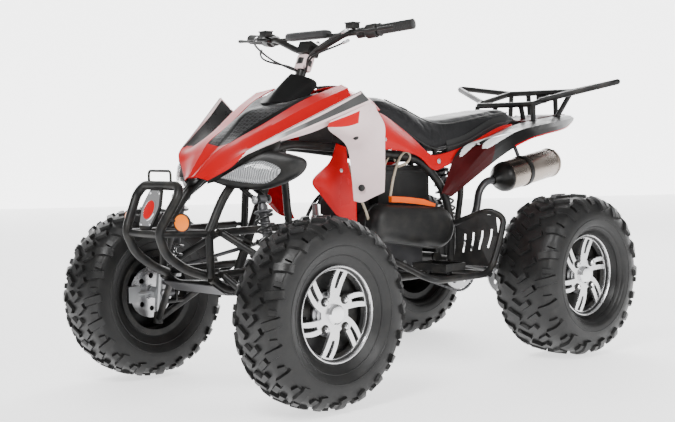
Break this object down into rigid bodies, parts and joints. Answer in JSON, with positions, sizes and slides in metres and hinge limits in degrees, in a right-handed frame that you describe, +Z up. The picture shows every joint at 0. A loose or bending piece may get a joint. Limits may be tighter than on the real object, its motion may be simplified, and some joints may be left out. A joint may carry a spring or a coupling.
{
  "type": "quad bike",
  "caption": "Sport quad bike with a tubular frame, double A-arm front axle, swingarm rear axle, red and black bodywork, padded seat, rear rack and steering that turns.",
  "frame": {"origin": "on the ground, under the middle of the overall length and width", "axes": "+X forward, +Y to the rider's left, +Z up"},
  "size_m": [1.9857, 1.054, 1.1396],
  "materials": {
    "tyre": "matt moulded rubber",
    "rim_alloy": "machined",
    "steel_parts": "machined steel",
    "cast_parts": "cast, satin",
    "frame_black": "satin powder coat",
    "damper_chrome": "polished",
    "spring_steel": "silver paint, gloss",
    "black_plastic": "grained",
    "exhaust_steel": "brushed stainless",
    "alloy_plate": "pressed, satin",
    "red_plastic": "gloss with stripes",
    "dark_plastic": "satin, meshed vent",
    "rear_plastic": "gloss with light graphics",
    "lens_clear": "clear fluted",
    "lens_red": "gloss red",
    "seat_vinyl": "grained vinyl",
    "bar_black": "satin black",
    "grip_rubber": "moulded rubber",
    "pad_fabric": "padded black cover",
    "cable_rubber": "satin rubber"
  },
  "bodies": {
    "chassis": {"upper_arms": "frame_black", "lower_arms": "frame_black", "shock_absorbers": "damper_chrome", "coil_springs": "spring_steel", "lower_rails": "frame_black", "upper_rails": "frame_black", "front_frame": "frame_black", "cross_tubes": "frame_black", "seat_frame": "frame_black", "front_bumper": "frame_black", "skid_plate": "frame_black", "swingarm": "frame_black", "rear_caliper": "cast_parts", "chain": "steel_parts", "engine": "cast_parts", "cvt_cover": "black_plastic", "airbox": "black_plastic", "exhaust_pipe": "exhaust_steel", "silencer": "exhaust_steel", "side_bars": "frame_black", "footpegs": "alloy_plate", "heel_guards": "alloy_plate", "front_fenders": "red_plastic", "leg_guards": "red_plastic", "bonnet": "dark_plastic", "cowl": "black_plastic", "headlight_housings": "black_plastic", "headlight_lenses": "lens_clear", "side_shrouds": "red_plastic", "tank_cover": "red_plastic", "fuel_tank": "black_plastic", "side_panels": "red_plastic", "rear_fenders": "rear_plastic", "tail_cover": "rear_plastic", "tail_light": "lens_red", "seat": "seat_vinyl", "rear_rack": "frame_black"},
    "steering": {"steering_column": "frame_black", "handlebar": "bar_black", "grips": "grip_rubber", "bar_pad": "pad_fabric", "controls": "black_plastic", "cables": "cable_rubber"},
    "knuckle_left": {"knuckle_left": "cast_parts"},
    "knuckle_right": {"knuckle_right": "cast_parts"},
    "tie_rod_left": {"tie_rod_left": "frame_black"},
    "tie_rod_right": {"tie_rod_right": "frame_black"},
    "front_wheel_left": {"front_tyre_left": "tyre", "front_rim_left": "rim_alloy", "front_hub_left": "steel_parts"},
    "front_wheel_right": {"front_tyre_right": "tyre", "front_rim_right": "rim_alloy", "front_hub_right": "steel_parts"},
    "rear_axle": {"rear_axle": "steel_parts", "rear_rims": "rim_alloy", "rear_tyres": "tyre"}
  },
  "joints": [
    {"name": "steering", "type": "hinge", "parent": "chassis", "child": "steering", "pos_m": [0.587, 0, 0.455], "axis": [-0.4226, 0, 0.9063], "range_deg": [-35, 35]},
    {"name": "knuckle_left", "type": "hinge", "parent": "chassis", "child": "knuckle_left", "pos_m": [0.6795, 0.352, 0.205], "axis": [-0.0513, -0.0898, 0.9946], "range_deg": [-30, 30]},
    {"name": "knuckle_right", "type": "hinge", "parent": "chassis", "child": "knuckle_right", "pos_m": [0.6795, -0.352, 0.205], "axis": [-0.0513, 0.0898, 0.9946], "range_deg": [-30, 30]},
    {"name": "tie_rod_left", "type": "hinge", "parent": "knuckle_left", "child": "tie_rod_left", "pos_m": [0.60447, 0.3382, 0.35989], "axis": [-0.0513, -0.0898, 0.9946], "range_deg": [-31.5, 31.5]},
    {"name": "tie_rod_right", "type": "hinge", "parent": "knuckle_right", "child": "tie_rod_right", "pos_m": [0.60447, -0.3382, 0.35989], "axis": [-0.0513, 0.0898, 0.9946], "range_deg": [-31.5, 31.5]},
    {"name": "front_wheel_left", "type": "hinge", "parent": "knuckle_left", "child": "front_wheel_left", "pos_m": [0.6755, 0.43, 0.28], "axis": [0, 1, 0], "continuous": true},
    {"name": "front_wheel_right", "type": "hinge", "parent": "knuckle_right", "child": "front_wheel_right", "pos_m": [0.6755, -0.43, 0.28], "axis": [0, 1, 0], "continuous": true},
    {"name": "rear_axle", "type": "hinge", "parent": "chassis", "child": "rear_axle", "pos_m": [-0.5245, 0, 0.28], "axis": [0, 1, 0], "continuous": true}
  ],
  "couplings": [
    {"joint": "knuckle_left", "follows": "steering", "ratio": 0.85},
    {"joint": "knuckle_right", "follows": "steering", "ratio": 0.85},
    {"joint": "tie_rod_left", "follows": "steering", "ratio": -0.888},
    {"joint": "tie_rod_right", "follows": "steering", "ratio": -0.888}
  ]
}
